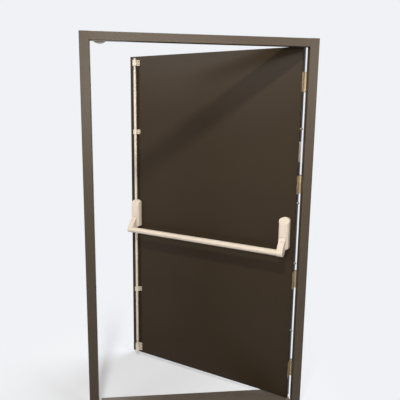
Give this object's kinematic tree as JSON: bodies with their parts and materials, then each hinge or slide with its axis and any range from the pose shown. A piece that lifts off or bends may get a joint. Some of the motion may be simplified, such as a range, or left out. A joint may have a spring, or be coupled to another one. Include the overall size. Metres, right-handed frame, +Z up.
{
  "type": "fire exit door",
  "caption": "Outward-opening steel fire exit door in its folded frame, standing ajar, with butt hinges, dog bolts, threshold and a push-bar bolt with rods to head and sill.",
  "frame": {"origin": "middle of the frame's width and depth, on the underside of the threshold", "axes": "+X to the hinge side, +Y the way the leaf opens, +Z up"},
  "size_m": [1.19, 0.7455, 2.04],
  "materials": {
    "frame_paint": "satin dark brown-grey paint",
    "leaf_paint": "satin dark brown paint",
    "sill_metal": "bare brushed metal",
    "seal_rubber": "matt black rubber",
    "cream_paint": "satin cream paint",
    "zinc": "yellowed zinc plating",
    "core_wool": "pressed mineral wool board",
    "steel": "bare steel"
  },
  "bodies": {
    "frame": {"hinge_jamb": "frame_paint", "lock_jamb": "frame_paint", "frame_head": "frame_paint", "threshold": "sill_metal", "hinge_jamb_seal": "seal_rubber", "lock_jamb_seal": "seal_rubber", "head_seal": "seal_rubber", "top_keep": "frame_paint", "floor_keep": "sill_metal", "keep_screws": "zinc", "fixing_sleeves": "steel", "hinge_backers": "steel", "hinge_pins": "steel", "frame_hinge_screws": "steel", "frame_hinge_leaf_1": "zinc", "frame_hinge_leaf_2": "zinc", "frame_hinge_leaf_3": "zinc", "frame_hinge_leaf_4": "zinc"},
    "leaf": {"inner_skin": "leaf_paint", "outer_skin": "leaf_paint", "leaf_core": "core_wool", "top_channel": "steel", "bottom_channel": "steel", "hinge_stile": "steel", "dog_bolts": "steel", "edge_plate": "cream_paint", "edge_plate_screws": "steel", "leaf_hinge_leaf_1": "zinc", "leaf_hinge_leaf_2": "zinc", "leaf_hinge_leaf_3": "zinc", "leaf_hinge_leaf_4": "zinc", "leaf_hinge_screws": "steel", "top_guide": "cream_paint", "upper_rod_guide": "cream_paint", "lower_rod_guide": "cream_paint", "bottom_guide": "cream_paint", "guide_screws": "zinc", "active_base": "steel", "active_cover": "cream_paint", "idle_base": "steel", "idle_cover": "cream_paint", "case_screws": "zinc", "active_pivot_pins": "zinc", "idle_pivot_pins": "zinc", "return_springs": "steel", "rocker_stud": "zinc"},
    "push_bar": {"active_arm": "cream_paint", "idle_arm": "cream_paint", "crossbar": "cream_paint", "bar_end_plugs": "cream_paint", "arm_screws": "zinc", "crank_pin": "zinc"},
    "top_rod": {"top_rod": "cream_paint", "top_bolt": "cream_paint", "top_slider": "zinc"},
    "bottom_rod": {"bottom_rod": "cream_paint", "bottom_bolt": "cream_paint", "bottom_slider": "zinc"},
    "rocker": {"rocker": "zinc"}
  },
  "joints": [
    {"name": "door_swing", "type": "hinge", "parent": "frame", "child": "leaf", "pos_m": [0.5605, 0.049, 0], "axis": [0, 0, -1], "range_deg": [-36, 134]},
    {"name": "bar_push", "type": "hinge", "parent": "leaf", "child": "push_bar", "pos_m": [-0.34427, 0.62663, 0.962], "axis": [0.809, -0.5878, 0], "range_deg": [0, 24], "stiffness_Nm_per_rad": 9, "springref_deg": -28.65},
    {"name": "top_rod_slide", "type": "slide", "parent": "leaf", "child": "top_rod", "axis": [0, 0, -1], "range_m": [0, 0.0105]},
    {"name": "bottom_rod_slide", "type": "slide", "parent": "leaf", "child": "bottom_rod", "axis": [0, 0, 1], "range_m": [0, 0.0105]},
    {"name": "rocker_turn", "type": "hinge", "parent": "leaf", "child": "rocker", "pos_m": [-0.33957, 0.6331, 1.017], "axis": [0.5878, 0.809, 0], "range_deg": [0, 36.21]}
  ],
  "couplings": [
    {"joint": "top_rod_slide", "follows": "bar_push", "m_per_rad": 0.024828},
    {"joint": "bottom_rod_slide", "follows": "bar_push", "m_per_rad": 0.024828},
    {"joint": "rocker_turn", "follows": "bar_push", "ratio": 1.5003}
  ]
}
